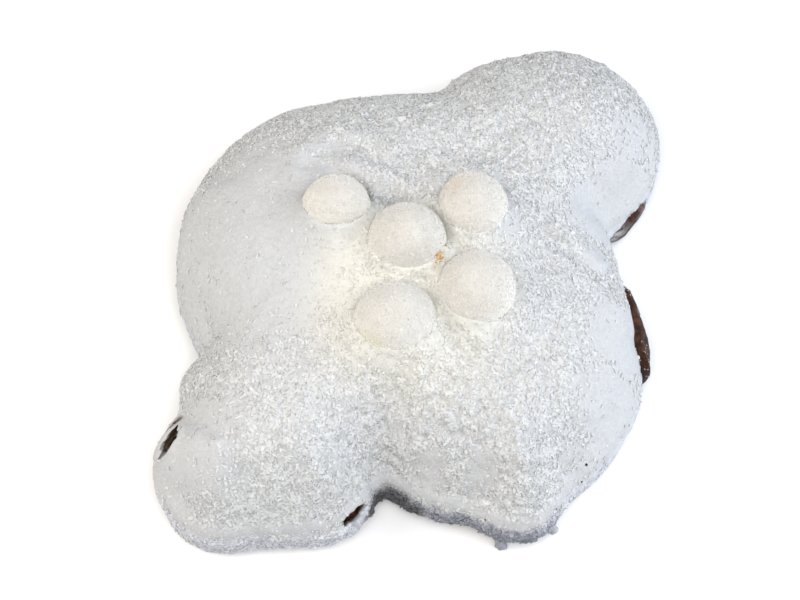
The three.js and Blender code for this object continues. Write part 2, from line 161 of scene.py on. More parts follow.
# Cracks in the coat: each runs along its heading, rises by its pitch and leans by its tilt.
CRACKS = [
    {"place": (-106.2, 17.6, 37), "heading": 2, "pitch": 38, "tilt": 105, "size": (14, 17, 4.6)},
    {"place": (-75.4, -46.8, 22.5), "heading": 0, "pitch": 0, "tilt": 125, "size": (13, 20, 5.5)},
]
CRACK_RAGGED = 0.35
CRACK_TEETH, CRACK_BALL = 0.8, 3  # size of the teeth, on a ball of this radius
CRACK_RIM, CRACK_RIM_PLACE, CRACK_RIM_WIDTH = 0.9, 1.3, 0.3  # icing stands up round a crack
CRACK_SHADE_DEPTH, CRACK_SHADE_STEPS = 6.5, (-4, 0, 4)  # where the painted shade in a crack is deepest, across and along it
CRACK_SIGHT = 1.5  # the crust is in sight up to this reach
CRACK_CRUST_RISE = 2.2  # the crust comes up by this under a crack

# Smooth patches of icing with little coconut (x, y, reach, share).
SMOOTH_PATCHES = [
    (88, -36, 24, 0.95),
    (72, -34, 20, 0.95),
    (106, -22, 18, 0.7),
    (40, -74, 22, 0.92),
    (19, -93, 24, 0.92),
    (-5, -98, 14, 0.7),
    (55, -47, 9, 0.9),
    (-32, 47, 66, 0.86),
    (-106, 14, 32, 0.86),
    (-46, -58, 9, 0.8),
    (-34, -73, 9, 0.8),
]
PATCH_CORE = 0.4  # share of its reach within which a patch is as smooth as it gets

# Rough patches, where the coat's grain is higher (x, y, reach, times).
ROUGH_PATCHES = [
    (-40, -66, 44, 2.4),
    (100, 28, 34, 1.2),
    (46, 16, 24, 1.0),
    (-62, -34, 24, 1.0),
]
SMOOTHING = 0.7  # share of the coat's grain that is missing where it is smooth
CREAM_REACH = 9  # the cream between and round the truffles is smooth too
CREAM_SHARE = 0.55
LIP_SMOOTHNESS = 0.9  # and so is the lip

# Fineness of the meshes.
EDGE_STEPS = (0, 0.8, 1.6, 2.4, 3.2, 4)  # distances from the rim of the first rings
RIM_CROWDING = 1.1  # above 1, the rings lie closer towards the rim
SOFT_SHARE = 0.05  # share of a ring to each side over which its notches are evened out
COAT_COLUMNS, COAT_RINGS, COAT_ROWS = 800, 104, 16
LOAF_COLUMNS, LOAF_RINGS, LOAF_ROWS = 560, 36, 24
SPACE_COLUMNS, SPACE_RINGS, SPACE_ROWS = 480, 30, 6
BITE_COLUMNS = 400
HALF_RINGS_BELOW = 0.5  # share of the rim's radius below which a ring has half the points
QUARTER_RINGS_BELOW = 0.25
TRUFFLE_DETAIL = 5
TOOL_DETAIL = 4
NEAREST_BLOCK = 2000  # points that are measured at a time

# Coconut: how many bits of a kind, and the ranges of their length, width and thickness. A flat side is up
# unless it says otherwise.
FLAT_UP, EDGE_UP = (1, 1, 1), (1, -1, -1)
SHREDS = {"count": 18000, "size": ((1.1, 2.1), (0.45, 0.8), (0.35, 0.6))}
CHIPS = {"count": 24000, "size": ((0.8, 1.4), (0.6, 1.0), (0.35, 0.65))}
GRAINS = {"count": 24000, "size": ((0.45, 0.9), (0.4, 0.7), (0.25, 0.45)), "side": EDGE_UP}
TRUFFLE_DUST = {"count": 9000, "size": ((0.35, 0.9), (0.3, 0.5), (0.15, 0.3))}
CRUST_DUST = {"count": 60, "size": ((0.3, 0.8), (0.25, 0.5), (0.2, 0.35))}
FLAKES = {"size": ((2.4, 3.6), (0.9, 1.5), (0.5, 0.8))}
BIT_TILT = 0.45
BIT_JITTER = 0.09
BIT_LIFT = 0.2  # share of its thickness by which a bit's middle stands off the surface

# Where the bits lie.
COAT_UPWARD = -0.3  # the coat's base faces down more than this
BARE_CLEAR, CRACK_CLEAR = 1.06, 1.05  # reaches that are kept clear
SOCKET_CLEAR = -2  # the bits end this far under a truffle's edge
WALL_LEAST, WALL_UPWARD = 0.6, (0.0, 0.5)  # the bits thin out to this share as the coat turns down
TUFT_SIZE, TUFT_FADE, TUFT_LEAST = 3.6, (-0.35, 0.35), 0.2  # the bits gather in tufts
TRUFFLE_UPWARD = (-0.2, 0.5)  # and the dust ends as a truffle does
DUST_FADE = (0.1, 0.55)  # shares of a bare side's length where its dust starts and is thick
DUST_HEIGHTS = (4, 9)
FLAKE_COUNT = 90
FLAKE_RIM_SHARE = 0.97
FLAKE_TURN = math.pi * (3 - math.sqrt(5))  # the golden angle
FLAKE_CLEAR = 3  # clearance from the truffles
FLAKE_SMOOTHEST = 0.3
TOP_UPWARD = 0.1  # a surface's upper side faces up more than this

# Brown crumbs: toasted ones in a streak between two truffles, and dark ones here and there.
CRUMBS = {"size": ((0.6, 1.6), (0.5, 1.0), (0.4, 0.7))}
CRUMB_STREAK = {"count": 70, "start": (10.5, -6.5), "end": (3.5, -12.0), "scatter": 1.0}
DARK_CRUMBS = [(-20.5, -98.9), (-41.5, -83.0), (-5.9, -98.0), (-1.9, -95.8), (33.1, -86.1)]

# Picture: the camera looks down on the cake from the front.
VIEW_BEARING, VIEW_ELEVATION, VIEW_DISTANCE = -135, 68, 0.75
VIEW_AIM = (-3.97, -0.23, 30.3)
VIEW_LENS, VIEW_SENSOR = 87.66, 36
FLOOR_SIZE = 6


def smoothstep(low, high, value):
    share = np.clip((value - low) / (high - low), 0, 1)
    return share * share * (3 - 2 * share)


def bell(value, width):
    """1 at 0, falling off smoothly over a width."""
    return np.exp(-((value / width) ** 2))


def lengths_of(vectors):
    return np.linalg.norm(vectors, axis=-1)


def heading(angle):
    """Unit vector in plan."""
    return np.array([math.cos(angle), math.sin(angle)])


class Noise:
    """Smooth noise in space from -1 to 1, the same each time for one seed."""

    CELLS = 61

    def __init__(self, seed):
        self.values = np.random.default_rng(seed).uniform(-1, 1, (self.CELLS,) * 3)

    def at(self, points, size):
        """Noise at points, with its lumps as far apart as size."""
        place = points / size
        cell = np.floor(place).astype(int)
        share = smoothstep(0, 1, place - cell)
        total = np.zeros(len(points))
        for corner in itertools.product((0, 1), repeat=3):
            x, y, z = ((cell + corner) % self.CELLS).T
            weight = np.prod(np.where(corner, share, 1 - share), axis=1)
            total += weight * self.values[x, y, z]
        return total

    def sum(self, points, layers):
        """Sum of layers of noise, each with its size and height."""
        return sum(height * self.at(points, size) for size, height in layers)


COAT_NOISE, CRUST_NOISE, EDGE_NOISE = (Noise(seed) for seed in (1, 2, 3))


def from_middle(angles, radii):
    """Points in plan at angles and radii from the middle."""
    return MIDDLE + np.column_stack((radii * np.cos(angles), radii * np.sin(angles)))


def lobe_distance(points):
    """Signed distance to the joined lobes in plan, negative inside."""
    total = 0
    for x, y, radius in LOBES.values():
        total = total + np.exp((radius - np.hypot(points[:, 0] - x, points[:, 1] - y)) / LOBE_BLEND)
    return -LOBE_BLEND * np.log(total)


def outline_radius(angles, inset):
    """Radius, at angles from the middle, of the outline set in from the coat's own by a distance."""
    def is_inside(radius):
        return lobe_distance(from_middle(angles, radius)) < -inset

    outer = np.full(len(angles), float(OUTER_REACH))
    outside = ~is_inside(outer - 1)
    while outside.any():
        outer[outside] -= 1
        outside = ~is_inside(outer - 1)
    inner = outer - 1
    for _ in range(OUTLINE_HALVINGS):
        middle = (inner + outer) / 2
        inside = is_inside(middle)
        inner = np.where(inside, middle, inner)
        outer = np.where(inside, outer, middle)
    return inner


def bare_half_span(side, heights):
    """Half the length of a bare side at heights: it narrows upwards as an arch."""
    return side["span"] / 2 * np.sqrt(np.maximum(1 - (heights / side["top"]) ** 2, ARCH_LEAST ** 2))


def bare_axes(side):
    """Directions in plan outwards from a bare side and along it."""
    outward = heading(math.radians(side["direction"]))
    return np.array([outward, (-outward[1], outward[0])])


def bare_shares(side, points):
    """How far points lie across and along a bare side, where 1 is at the oval's edge."""
    outward, along = bare_axes(side) @ (points[:, :2] - side["place"]).T
    heights = points[:, 2] if points.shape[1] > 2 else 0
    return outward / side["depth"], along / bare_half_span(side, heights)


def bare_reach(side, points):
    """How far points lie from the middle of a bare side, where 1 is at the oval's edge."""
    shares = np.abs(bare_shares(side, points))
    return (shares ** side["power"]).sum(0) ** (1 / side["power"])


def cake_inset(angles):
    """The cake's inset at angles: its crust comes forward at the bare sides."""
    points = from_middle(angles, outline_radius(angles, 0))
    inset = np.full(len(angles), float(CAKE_INSET))
    for side in BARE_SIDES:
        covered = smoothstep(side["bulge_share"], 1, bare_reach(side, points))
        inset = -side["bulge"] + (inset + side["bulge"]) * covered
    return inset


def offset_to_segment(points, start, end):
    """Offsets from points to the nearest place on straight segments."""
    along = end - start
    share = np.clip(((points - start) * along).sum(-1) / (along * along).sum(-1), 0, 1)
    return start + share[..., None] * along - points


def distance_to_path(points, path):
    """Distance from points in plan to a run of straight segments."""
    path = np.array(path, float)
    return np.min([lengths_of(offset_to_segment(points, a, b)) for a, b in zip(path, path[1:])], axis=0)


class Outline:
    def __init__(self, inset):
        angles = np.linspace(0, 2 * math.pi, OUTLINE_STEPS + 1)
        self.points = from_middle(angles, outline_radius(angles, inset(angles)))
        steps = lengths_of(np.diff(self.points, axis=0))
        self.lengths = np.concatenate(([0], np.cumsum(steps)))

    def at(self, lengths):
        """Points at lengths along the outline."""
        lengths = lengths % self.lengths[-1]
        return np.column_stack([np.interp(lengths, self.lengths, self.points[:, k]) for k in range(2)])

    def even_points(self, count):
        """Points spaced evenly along the outline, and the inward directions square to it."""
        lengths = np.arange(count) / count * self.lengths[-1]
        along = self.at(lengths + TANGENT_STEP) - self.at(lengths - TANGENT_STEP)
        inward = np.column_stack((-along[:, 1], along[:, 0])) / lengths_of(along)[:, None]
        return self.at(lengths), inward

    def offsets(self, points):
        """Offsets from points in plan to the nearest places on the outline."""
        blocks = np.array_split(points, len(points) // NEAREST_BLOCK + 1)
        return np.concatenate([self.offsets_of_block(block) for block in blocks])

    def offsets_of_block(self, points):
        nearest = ((points[:, None] - self.points[None, :-1]) ** 2).sum(-1).argmin(1)
        middle = self.points[nearest]
        before = offset_to_segment(points, middle, self.points[nearest - 1 - (nearest == 0)])
        after = offset_to_segment(points, middle, self.points[nearest + 1])
        return np.where((lengths_of(before) < lengths_of(after))[:, None], before, after)


COAT_OUTLINE = Outline(lambda angles: 0)
CAKE_OUTLINE = Outline(cake_inset)


def plan_shift():
    """Offset from the lobes' plan to the part's frame, from where the cake's solid stands."""
    low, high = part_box("cake")
    middle = (CAKE_OUTLINE.points.min(0) + CAKE_OUTLINE.points.max(0)) / 2
    return np.array([(low.x + high.x) / 2 / MM - middle[0], (low.y + high.y) / 2 / MM - middle[1], 0])


PLAN_SHIFT = plan_shift()


def truffle_stretch(stretch):
    """Matrix that lengthens a truffle along its direction."""
    return np.array(Matrix.Scale(stretch, 3, Vector((*heading(TRUFFLE_DIRECTION), 0))))


def truffle_clearances(points):
    """Clearances in plan from points to each truffle, and unit vectors to the points from its middle."""
    for x, y, _, radius, stretch in TRUFFLES:
        rel = points[:, :2] - (x, y)
        distance = lengths_of(rel @ np.linalg.inv(truffle_stretch(stretch)[:2, :2]))
        yield distance - radius, rel / np.maximum(lengths_of(rel), TINY)[:, None]


def truffle_clearance(points):
    """Clearance in plan from points to the nearest truffle."""
    return np.min([clearance for clearance, _ in truffle_clearances(points)], axis=0)


def cream_relief(points):
    """Height of the cream that the truffles were pressed into."""
    rise = np.zeros(len(points))
    gaps = np.zeros(len(points))
    for (clearance, away), (bearing, depth) in zip(truffle_clearances(points), TRUFFLE_GAPS):
        outside = np.maximum(clearance, 0)
        front = smoothstep(*CREAM_FADE, away @ heading(FRONT_DIRECTION))
        behind = smoothstep(*GAP_FADE, away @ heading(math.radians(bearing)))
        rise = np.maximum(rise, front * np.exp(-outside / CREAM_WIDTH))
        gaps = np.maximum(gaps, depth * behind * bell(outside, GAP_WIDTH))
    return CREAM_RISE * rise - gaps


def coat_relief(points):
    """Height of the coat's strokes and of its swelling round the truffles."""
    height = np.zeros(len(points))
    for rise, width, path in STROKES:
        height += rise * bell(distance_to_path(points, path), width)
    mound = 1 - smoothstep(0, MOUND_REACH, truffle_clearance(points))
    return height + MOUND_RISE * mound + cream_relief(points)


def front_share(rim_offsets):
    """How far the coat's rim faces the front where it is nearest, from 0 to 1."""
    facing = rim_offsets @ heading(FRONT_DIRECTION) / np.maximum(lengths_of(rim_offsets), TINY)
    return smoothstep(*FRONT_FADE, facing)


def top_height(points, section, rim_distance, front, relief):
    """Height of a loaf's top over points in plan."""
    across = np.minimum(rim_distance / SHOULDER_WIDTH, 1)
    shoulder = np.sqrt(1 - (1 - across) ** 2) ** (1 + FRONT_SLOPE * front * (1 - across))
    dome = section["dome_rise"] * (1 - (lengths_of(points) / DOME_RADIUS) ** 2)
    return section["widest_height"] + shoulder * (section["shoulder_rise"] + dome + relief)


def coat_height(points):
    rim_offsets = COAT_OUTLINE.offsets(points)
    distance = lengths_of(rim_offsets)
    front = front_share(rim_offsets)
    ridge = LIP_RISE * bell(distance - LIP_PLACE, LIP_WIDTH)
    crease = CREASE_DEPTH * bell(distance - CREASE_PLACE, CREASE_WIDTH)
    lip = front * (ridge - crease) * smoothstep(0, LIP_PLACE, distance)
    return top_height(points, COAT, distance, front, coat_relief(points)) + lip


def cake_height(points):
    distance = lengths_of(CAKE_OUTLINE.offsets(points))
    return top_height(points, CAKE, distance, front_share(COAT_OUTLINE.offsets(points)), 0)


def hem_height(points):
    """Height of the coat's hem below points in plan."""
    rel = points - MIDDLE
    angles = np.arctan2(rel[:, 1], rel[:, 0])
    return HEM_HEIGHT + sum(height * np.sin(count * angles + turn) for count, height, turn in HEM_WAVES)


class Shell:
    """Closed mesh of rings, each joined to the ring outside or above it."""

    def __init__(self):
        self.vertices = []
        self.triangles = []
        self.size = 0

    def add_ring(self, plan, heights):
        ring = (self.size, len(plan))
        self.vertices.append(np.column_stack((plan, np.broadcast_to(heights, len(plan)))))
        self.size += len(plan)
        return ring

    def join(self, outer, inner):
        """Triangles between two rings, where the inner has as many points as the outer or a part of them."""
        outer_start, outer_count = outer
        inner_start, inner_count = inner
        skip = outer_count // inner_count
        k = np.arange(outer_count)
        i = np.arange(inner_count)
        fan = (inner_start + k // skip, outer_start + k, outer_start + (k + 1) % outer_count)
        outer_next = outer_start + (i + 1) * skip % outer_count
        link = (inner_start + i, outer_next, inner_start + (i + 1) % inner_count)
        self.triangles += [np.column_stack(fan), np.column_stack(link)]

    def close(self, ring, middle, height, facing):
        """Fan from a ring to a middle point, facing up or down."""
        start, count = ring
        here = start + np.arange(count)
        following = start + (np.arange(count) + 1) % count
        hub, _ = self.add_ring(np.array([middle]), height)
        fan = np.column_stack((np.full(count, hub), here, following))
        self.triangles.append(fan if facing > 0 else fan[:, ::-1])

    def arrays(self):
        return np.concatenate(self.vertices), np.concatenate(self.triangles)


def ring_stride(share):
    """One point in so many of a ring at a share of the rim's radius."""
    if share > HALF_RINGS_BELOW:
        return 1
    return 2 if share > QUARTER_RINGS_BELOW else 4


def shrink(points, share):
    """A ring drawn towards the middle by a share, where it loses its notches."""
    radii = lengths_of(points - MIDDLE)
    reach = int(SOFT_SHARE * len(points))
    soft = np.mean([np.roll(radii, k) for k in range(-reach, reach + 1)], axis=0)
    scale = share * (1 + (soft / radii - 1) * (1 - share ** 2))
    return MIDDLE + scale[:, None] * (points - MIDDLE)


def loaf_mesh(columns, rings, outline, height_at, wall_rows, floor_height):
    """Rings from the rim up to the middle of the top, then rows (inset, heights) down the wall to a base."""
    rim, inward = outline.even_points(columns)
    plans = [rim + step * inward for step in EDGE_STEPS]
    inside = plans[-1]
    for k in range(1, rings):
        share = 1 - (k / rings) ** RIM_CROWDING
        plans.append(shrink(inside, share)[::ring_stride(share)])
    shell = Shell()
    top_rings = [shell.add_ring(plan, height_at(plan)) for plan in plans]
    for outer, inner in zip(top_rings, top_rings[1:]):
        shell.join(outer, inner)
    shell.close(top_rings[-1], MIDDLE, height_at(MIDDLE[None])[0], 1)
    above = top_rings[0]
    for inset, heights in wall_rows(rim, inward):
        below = shell.add_ring(rim + np.reshape(inset, (-1, 1)) * inward, heights)
        shell.join(below, above)
        above = below
    shell.close(above, MIDDLE, floor_height, -1)
    return shell.arrays()


def face_normals(corners):
    """Normals of triangles, twice as long as their areas."""
    return np.cross(corners[:, 1] - corners[:, 0], corners[:, 2] - corners[:, 0])


def vertex_normals(vertices, triangles):
    faces = face_normals(vertices[triangles])
    normals = np.zeros_like(vertices)
    for k in range(3):
        np.add.at(normals, triangles[:, k], faces)
    return normals / lengths_of(normals)[:, None]


def smoothness(points):
    """How smooth the icing is at points, from 0 under coconut to 1."""
    smooth = np.zeros(len(points))
    for x, y, reach, share in SMOOTH_PATCHES:
        distance = np.hypot(points[:, 0] - x, points[:, 1] - y)
        smooth = np.maximum(smooth, share * (1 - smoothstep(PATCH_CORE * reach, reach, distance)))
    smooth = np.maximum(smooth, CREAM_SHARE * (1 - smoothstep(0, CREAM_REACH, truffle_clearance(points))))
    low = points[:, 2] < COAT["widest_height"] + COAT["shoulder_rise"] / 2
    rim_offsets = COAT_OUTLINE.offsets(points[low, :2])
    lip = bell(lengths_of(rim_offsets) - LIP_PLACE, LIP_WIDTH) * front_share(rim_offsets)
    smooth[low] = np.maximum(smooth[low], LIP_SMOOTHNESS * lip * (points[low, 2] > COAT["widest_height"]))
    return smooth


def grain_height(points):
    """How many times higher the coat's grain is at points."""
    height = np.ones(len(points))
    for x, y, reach, times in ROUGH_PATCHES:
        height += times * bell(np.hypot(points[:, 0] - x, points[:, 1] - y), reach)
    return height


def bare_nearness(points):
    """How near points lie to the edge of a bare side that reaches over the shoulder, from 0 to 1."""
    near = np.zeros(len(points))
    for side in BARE_SIDES:
        beyond = (bare_reach(side, points) - 1) * side["depth"]
        tall = smoothstep(0, COAT["shoulder_rise"], side["top"] - COAT["widest_height"])
        near = np.maximum(near, tall * (1 - smoothstep(0, BARE_THIN_WIDTH, beyond)))
    return near


def crack_turn(crack):
    """Matrix that turns a crack's own axes to those of the cake."""
    turn = Matrix.Rotation(math.radians(crack["heading"]), 3, "Z")
    turn = turn @ Matrix.Rotation(-math.radians(crack["pitch"]), 3, "Y")
    return np.array(turn @ Matrix.Rotation(math.radians(crack["tilt"]), 3, "X"))


def crack_reach(crack, points):
    """How far points lie from the middle of a crack, where 1 is at its wall."""
    local = (points - crack["place"]) @ crack_turn(crack)
    return lengths_of(local / (np.array(crack["size"]) / 2))


def is_uncovered(points, bare_limit, crack_limit):
    """Whether points lie within limits of the reach of a bare side or a crack."""
    found = np.zeros(len(points), bool)
    for side in BARE_SIDES:
        found |= (bare_reach(side, points) < bare_limit) & (points[:, 2] < side["top"])
    for crack in CRACKS:
        found |= crack_reach(crack, points) < crack_limit
    return found


def coat_rows(rim, inward):
    """The coat's wall: it falls back under the lip, except at the front, then drops to the hem."""
    hem = hem_height(rim)
    foot_inset = COAT["foot_inset"] * (1 - FRONT_UPRIGHT * front_share(-inward))
    for k in range(1, COAT_ROWS + 1):
        share = k / COAT_ROWS
        inset = foot_inset * smoothstep(0, LIP_SHARE, share)
        yield inset, COAT["widest_height"] + (hem - COAT["widest_height"]) * share


def coat_surface():
    """Outside of the coat, closed by a base inside the cake."""
    vertices, triangles = loaf_mesh(
        COAT_COLUMNS, COAT_RINGS, COAT_OUTLINE, coat_height, coat_rows, HEM_HEIGHT)
    lumps = COAT_NOISE.sum(vertices, COAT_LUMPS)
    grain = COAT_NOISE.sum(vertices, COAT_GRAIN) * (1 - SMOOTHING * smoothness(vertices))
    lumps += grain * grain_height(vertices)
    lumps -= BARE_THINNING * bare_nearness(vertices)
    for crack in CRACKS:
        lumps += CRACK_RIM * bell(crack_reach(crack, vertices) - CRACK_RIM_PLACE, CRACK_RIM_WIDTH)
    return vertices + vertex_normals(vertices, triangles) * lumps[:, None], triangles


def loaf_rows(rows):
    """The cake's wall, which rounds in to a flat base."""
    def rows_at(_rim, _inward):
        for turn in np.linspace(0, math.pi / 2, rows + 1)[1:]:
            yield CAKE["foot_inset"] * (1 - math.cos(turn)), CAKE["widest_height"] * (1 - math.sin(turn))
    return rows_at


def loaf_surface(columns, rings, rows):
    return loaf_mesh(columns, rings, CAKE_OUTLINE, cake_height, loaf_rows(rows), 0)


def below_coat(vertices):
    """Heights of a loaf's vertices, lowered where the coat would be too thin over them."""
    return np.minimum(vertices[:, 2], coat_height(vertices[:, :2]) - COAT_LEAST)


def space_surface():
    """Space that the loaf takes up in the coat."""
    vertices, triangles = loaf_surface(SPACE_COLUMNS, SPACE_RINGS, SPACE_ROWS)
    vertices[:, 2] = below_coat(vertices)
    return vertices, triangles


def crust_surface():
    """The cake with the uneven, wrinkled skin of a baked crust."""
    vertices, triangles = loaf_surface(LOAF_COLUMNS, LOAF_RINGS, LOAF_ROWS)
    wrinkles = CRUST_NOISE.at(vertices + OUTER_REACH, CRUST_WRINKLE["size"])
    lumps = CRUST_NOISE.sum(vertices, CRUST_LUMPS)
    lumps -= CRUST_WRINKLE["depth"] * bell(wrinkles, CRUST_WRINKLE["width"])
    for crack in CRACKS:
        lumps += CRACK_CRUST_RISE * bell(crack_reach(crack, vertices), 1)
    in_sight = is_uncovered(vertices, BARE_SIGHT, CRACK_SIGHT)
    lumps = np.where(in_sight, lumps, -np.abs(lumps))
    lumps *= smoothstep(0, CRUST_FOOT, vertices[:, 2])
    vertices = vertices + vertex_normals(vertices, triangles) * lumps[:, None]
    vertices[:, 2] = np.where(in_sight, vertices[:, 2], below_coat(vertices))
    return vertices, triangles


def ball_surface(detail):
    ball = bmesh.new()
    bmesh.ops.create_icosphere(ball, subdivisions=detail, radius=1)
    vertices = np.array([v.co for v in ball.verts])
    triangles = np.array([[v.index for v in f.verts] for f in ball.faces])
    ball.free()
    return vertices, triangles


def truffle_surface(index, detail, grain):
    """Slightly uneven and oval ball of one truffle, with the grain of fine coconut or without."""
    directions, triangles = ball_surface(detail)
    x, y, z, radius, stretch = TRUFFLES[index]
    lump = 0
    for axis, count in enumerate(TRUFFLE_WAVES):
        lump = lump + np.sin(count * directions[:, axis] + (axis + 1) * index)
    lengths = radius * (1 + TRUFFLE_UNEVENNESS * lump / len(TRUFFLE_WAVES))
    lengths += COAT_NOISE.sum(directions * radius + OUTER_REACH * index, grain)
    return directions * lengths[:, None] @ truffle_stretch(stretch) + (x, y, z), triangles


def crack_surface(crack):
    """Long thin ragged body of a crack."""
    points, triangles = ball_surface(TOOL_DETAIL)
    ragged = EDGE_NOISE.at(points * CRACK_BALL + crack["place"], CRACK_TEETH)
    points = points * (1 + CRACK_RAGGED * ragged)[:, None]
    return points * np.array(crack["size"]) / 2 @ crack_turn(crack).T + crack["place"], triangles


def drip_surface(drip):
    """Drop of icing that hangs from the hem against the wall."""
    angle, height, half_width, half_length = drip
    points, triangles = ball_surface(TOOL_DETAIL)
    points = points * (1 + DRIP_RAGGED * EDGE_NOISE.at(points + DRIP_SHIFT * height, DRIP_TEETH))[:, None]
    angle = np.radians([angle])
    middle = from_middle(angle, outline_radius(angle, 0))[0]
    return points * (half_width, half_width, half_length) + (*middle, height), triangles


def bite_surface(side):
    """Ragged oval column that takes the coat off a bare side, up to the side's top."""
    angles = np.linspace(0, 2 * math.pi, BITE_COLUMNS, endpoint=False)
    turns = np.column_stack((np.cos(angles), np.sin(angles)))
    turns = np.sign(turns) * np.abs(turns) ** (2 / side["power"])
    middle = np.array(side["place"])
    shell = Shell()
    rings = []
    for height in np.arange(side["top"], -BARE_STEP, -BARE_STEP):
        oval = turns * (side["depth"], bare_half_span(side, height)) @ bare_axes(side)
        ragged = EDGE_NOISE.sum(np.column_stack((middle + oval, np.full(len(oval), height))), BARE_RAGGED)
        grown = oval * (1 + ragged / lengths_of(oval))[:, None]
        rings.append(shell.add_ring(middle + grown, height + ragged * (height == side["top"])))
    shell.close(rings[0], middle, side["top"], 1)
    for above, below in zip(rings, rings[1:]):
        shell.join(below, above)
    shell.close(rings[-1], middle, -BARE_STEP, -1)
    return shell.arrays()


def make_object(name, vertices, triangles):
    """Mesh object from arrays in millimetres in the lobes' plan."""
    mesh = bpy.data.meshes.new(name)
    count = len(triangles)
    mesh.vertices.add(len(vertices))
    mesh.vertices.foreach_set("co", ((vertices + PLAN_SHIFT) * MM).astype(np.float32).ravel())
    mesh.loops.add(3 * count)
    mesh.loops.foreach_set("vertex_index", triangles.astype(np.int32).ravel())
    mesh.polygons.add(count)
    mesh.polygons.foreach_set("loop_start", np.arange(0, 3 * count, 3, dtype=np.int32))
    mesh.update(calc_edges=True)
    piece = bpy.data.objects.new(name, mesh)
    bpy.context.scene.collection.objects.link(piece)
    return piece


def combine(piece, operation, surface):
    """Cuts a closed surface out of a piece, or joins it on."""
    tool = make_object("tool", *surface)
    modifier = piece.modifiers.new("combine", "BOOLEAN")
    modifier.operation = operation
    modifier.solver = "MANIFOLD"
    modifier.object = tool
    evaluated = piece.evaluated_get(bpy.context.evaluated_depsgraph_get())
    mesh = bpy.data.meshes.new_from_object(evaluated)
    piece.modifiers.clear()
    old = piece.data
    piece.data = mesh
    bpy.data.meshes.remove(old)
    bpy.data.objects.remove(tool)


def finish_piece(piece, material, smooth):
    piece.data.materials.clear()
    piece.data.materials.append(material)
    piece.data.polygons.foreach_set("use_smooth", np.full(len(piece.data.polygons), smooth))
    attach(piece, "root")


def scatter(surface, weight_at, count, rng):
    """Random places on a surface and its normals there, thicker where the weight is larger."""
    vertices, triangles = surface
    corners = vertices[triangles]
    faces = face_normals(corners)
    sizes = np.maximum(lengths_of(faces), TINY)
    normals = faces / sizes[:, None]
    chance = sizes * weight_at(corners.mean(1), normals)
    chosen = rng.choice(len(triangles), count, p=chance / chance.sum())
    shares = rng.random((2, count))
    a, b = np.where(shares.sum(0) > 1, 1 - shares, shares)[..., None]
    first, second, third = corners[chosen].transpose(1, 0, 2)
    points = first + a * (second - first) + b * (third - first)
    return points, normals[chosen]


def under(surface, plan):
    """Places on a surface's upper side below points in plan, and its normals there."""
    vertices, triangles = surface
    normals = vertex_normals(vertices, triangles)
    upper = np.flatnonzero(normals[:, 2] > TOP_UPWARD)
    nearest = [((vertices[upper, :2] - point) ** 2).sum(1).argmin() for point in plan]
    chosen = upper[nearest]
    return vertices[chosen], normals[chosen]


# A bit of coconut: a three-sided prism of unit size, with a flat side up.
PRISM = np.array([(end, y, z) for end in (-0.5, 0.5) for y, z in ((0.5, 0.5), (-0.5, 0.5), (0.0, -0.5))])
PRISM_TRIANGLES = np.array(
    [(0, 2, 1), (3, 4, 5), (0, 1, 4), (0, 4, 3), (1, 2, 5), (1, 5, 4), (2, 0, 3), (2, 3, 5)])


def turned(first, second, angles):
    """Directions square to each other, turned from the first to the second by angles."""
    return first * np.cos(angles) + second * np.sin(angles), second * np.cos(angles) - first * np.sin(angles)


def bits_surface(places, kind, rng):
    """Bits of one kind, one at each place, lying any way round and a little tilted."""
    points, normals = places
    count = len(points)
    any_way = np.cross(normals, rng.normal(size=(count, 3)))
    along = any_way / lengths_of(any_way)[:, None]
    lean, roll = rng.uniform(-BIT_TILT, BIT_TILT, (2, count, 1))
    lengthwise, upright = turned(along, normals, lean)
    sideways, upright = turned(np.cross(upright, lengthwise), upright, roll)
    axes = np.stack((lengthwise, sideways, upright), axis=1)
    sizes = np.stack([rng.uniform(*span, count) for span in kind["size"]], axis=1)
    jitter = rng.normal(0, BIT_JITTER, (count, len(PRISM), 3))
    shapes = (PRISM * kind.get("side", FLAT_UP) + jitter) * sizes[:, None]
    lift = BIT_LIFT * sizes[:, 2, None] * normals
    vertices = (points + lift)[:, None] + np.einsum("nvk,nkd->nvd", shapes, axes)
    triangles = PRISM_TRIANGLES + len(PRISM) * np.arange(count)[:, None, None]
    return vertices.reshape(-1, 3), triangles.reshape(-1, 3)


def on_coat(points, normals):
    """Whether the coat's outside is icing, and not its base, a socket, a crack or a bare side."""
    clear = (normals[:, 2] > COAT_UPWARD) & (truffle_clearance(points) > SOCKET_CLEAR)
    return clear & ~is_uncovered(points, BARE_CLEAR, CRACK_CLEAR)


def coconut_weight(points, normals):
    wall = WALL_LEAST + (1 - WALL_LEAST) * smoothstep(*WALL_UPWARD, normals[:, 2])
    tufts = TUFT_LEAST + (1 - TUFT_LEAST) * smoothstep(*TUFT_FADE, COAT_NOISE.at(points, TUFT_SIZE))
    return on_coat(points, normals) * (1 - smoothness(points)) ** 2 * wall * tufts


def fine_weight(points, normals):
    return on_coat(points, normals) * (1 - smoothness(points))


def upper_weight(_points, normals):
    return smoothstep(*TRUFFLE_UPWARD, normals[:, 2])


def bare_edge_weight(points, _normals):
    """More on the crust of a bare side the nearer it is to the side's ends."""
    weight = np.zeros(len(points))
    for side in BARE_SIDES:
        _, along = bare_shares(side, points)
        bare = (bare_reach(side, points) < 1) & (points[:, 2] < side["top"])
        weight = np.maximum(weight, smoothstep(*DUST_FADE, np.abs(along)) * bare)
    return weight * smoothstep(*DUST_HEIGHTS, points[:, 2])


